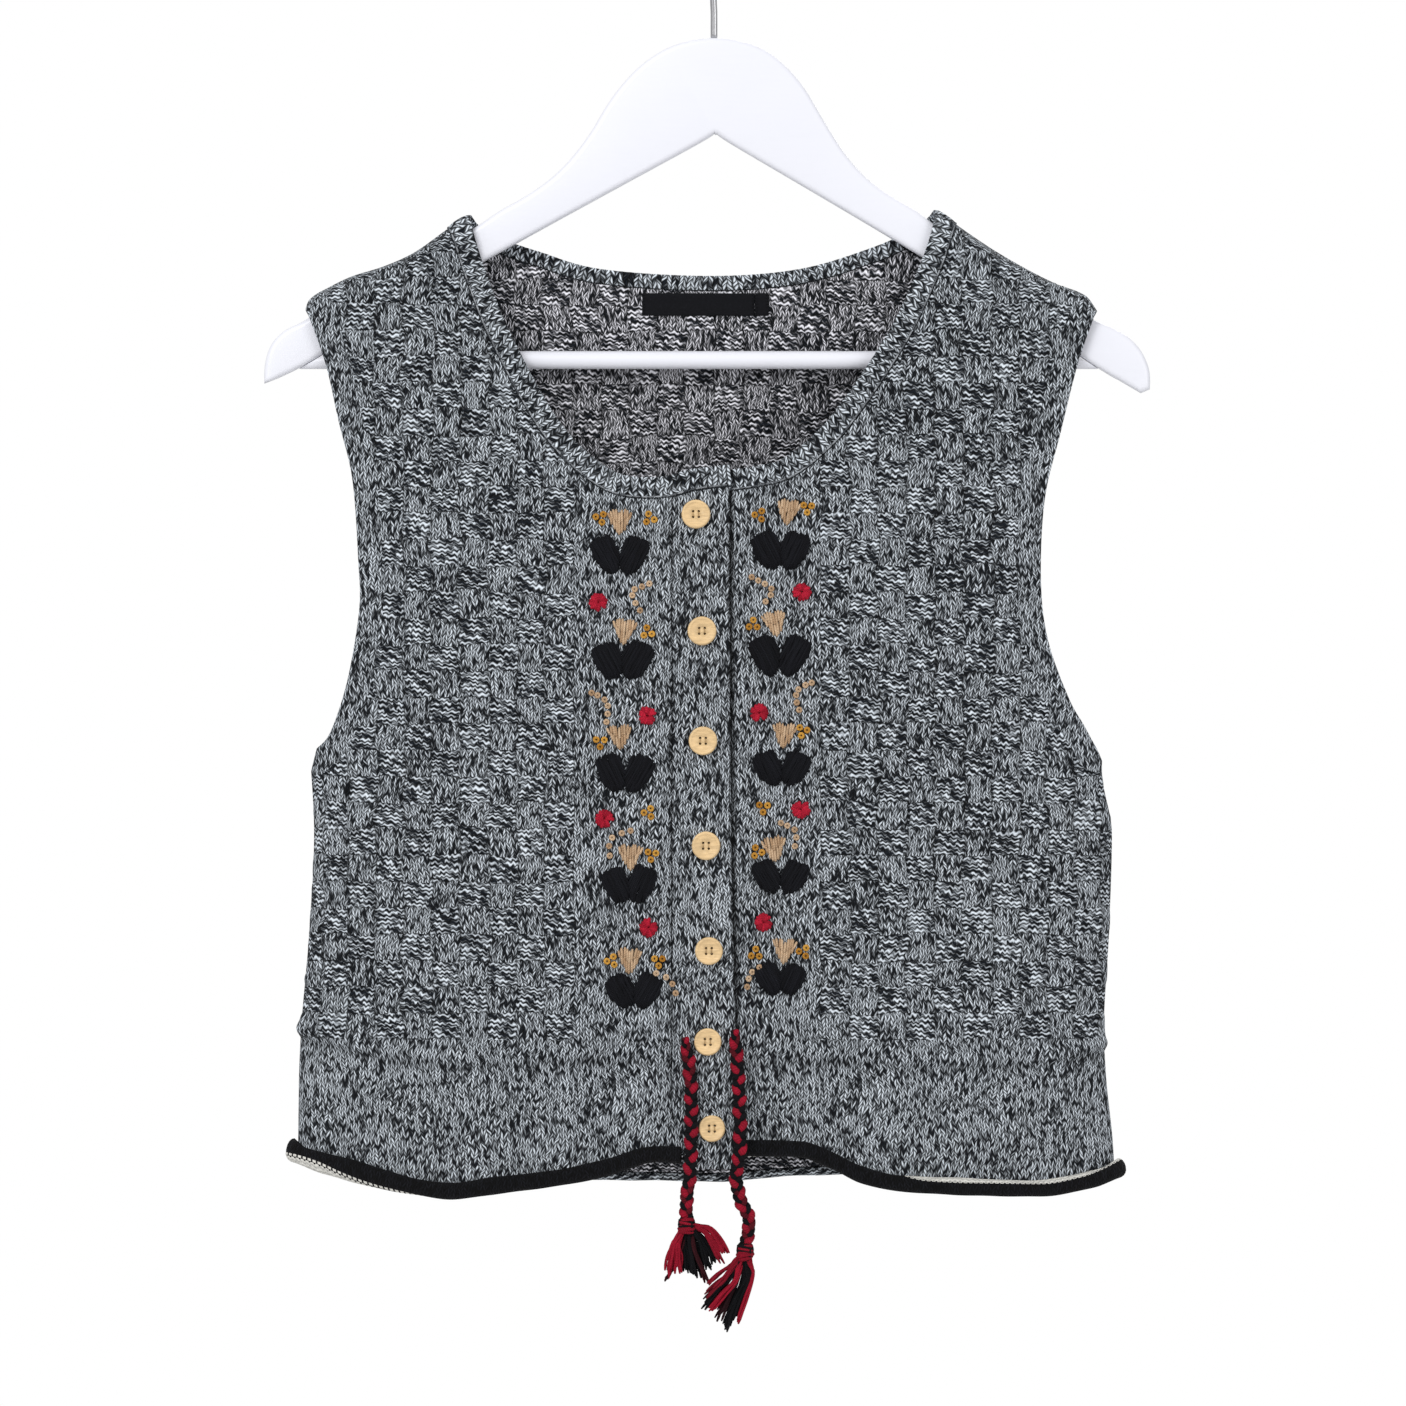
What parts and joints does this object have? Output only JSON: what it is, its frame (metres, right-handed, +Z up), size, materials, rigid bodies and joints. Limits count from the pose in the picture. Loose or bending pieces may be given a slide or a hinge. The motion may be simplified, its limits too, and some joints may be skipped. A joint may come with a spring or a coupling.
{
  "type": "sweater vest on a wooden hanger",
  "caption": "Marled basket-weave knitted vest with a button front, rolled hem and plaited drawstring ends, on a white wooden trouser hanger.",
  "frame": {"origin": "inside crown of the hanger's hook, the point where it hangs on a rail", "axes": "+Z up along the hook's stem, +X to the viewer's right as seen from the front, -Y the way the vest's front faces"},
  "size_m": [0.4427, 0.0914, 0.7229],
  "materials": {
    "marled_knit": "thick marled wool and cotton knit, matte",
    "marled_rib": "marled one-by-one rib, matte",
    "black_knit": "black stocking stitch with an off-white back, matte",
    "button_wood": "turned pale wood, satin",
    "black_woven": "black woven ribbon",
    "plaited_wool": "red and black wool plait, matte",
    "white_paint": "white satin paint on wood",
    "hook_steel": "plain drawn wire"
  },
  "bodies": {
    "root": {"front_left": "marled_knit", "front_right": "marled_knit", "back": "marled_knit", "buttonhole_band": "marled_knit", "button_band": "marled_knit", "neckband": "marled_rib", "hem_roll_left": "black_knit", "hem_roll_right": "black_knit", "hem_roll_back": "black_knit", "button_1": "button_wood", "button_2": "button_wood", "button_3": "button_wood", "button_4": "button_wood", "button_5": "button_wood", "button_6": "button_wood", "button_7": "button_wood", "label": "black_woven", "size_tab": "black_woven", "drawstring_left": "plaited_wool", "drawstring_right": "plaited_wool", "tassel_left": "plaited_wool", "tassel_right": "plaited_wool", "hanger_body": "white_paint", "trouser_bar": "white_paint", "hanger_hook": "hook_steel"}
  },
  "joints": []
}
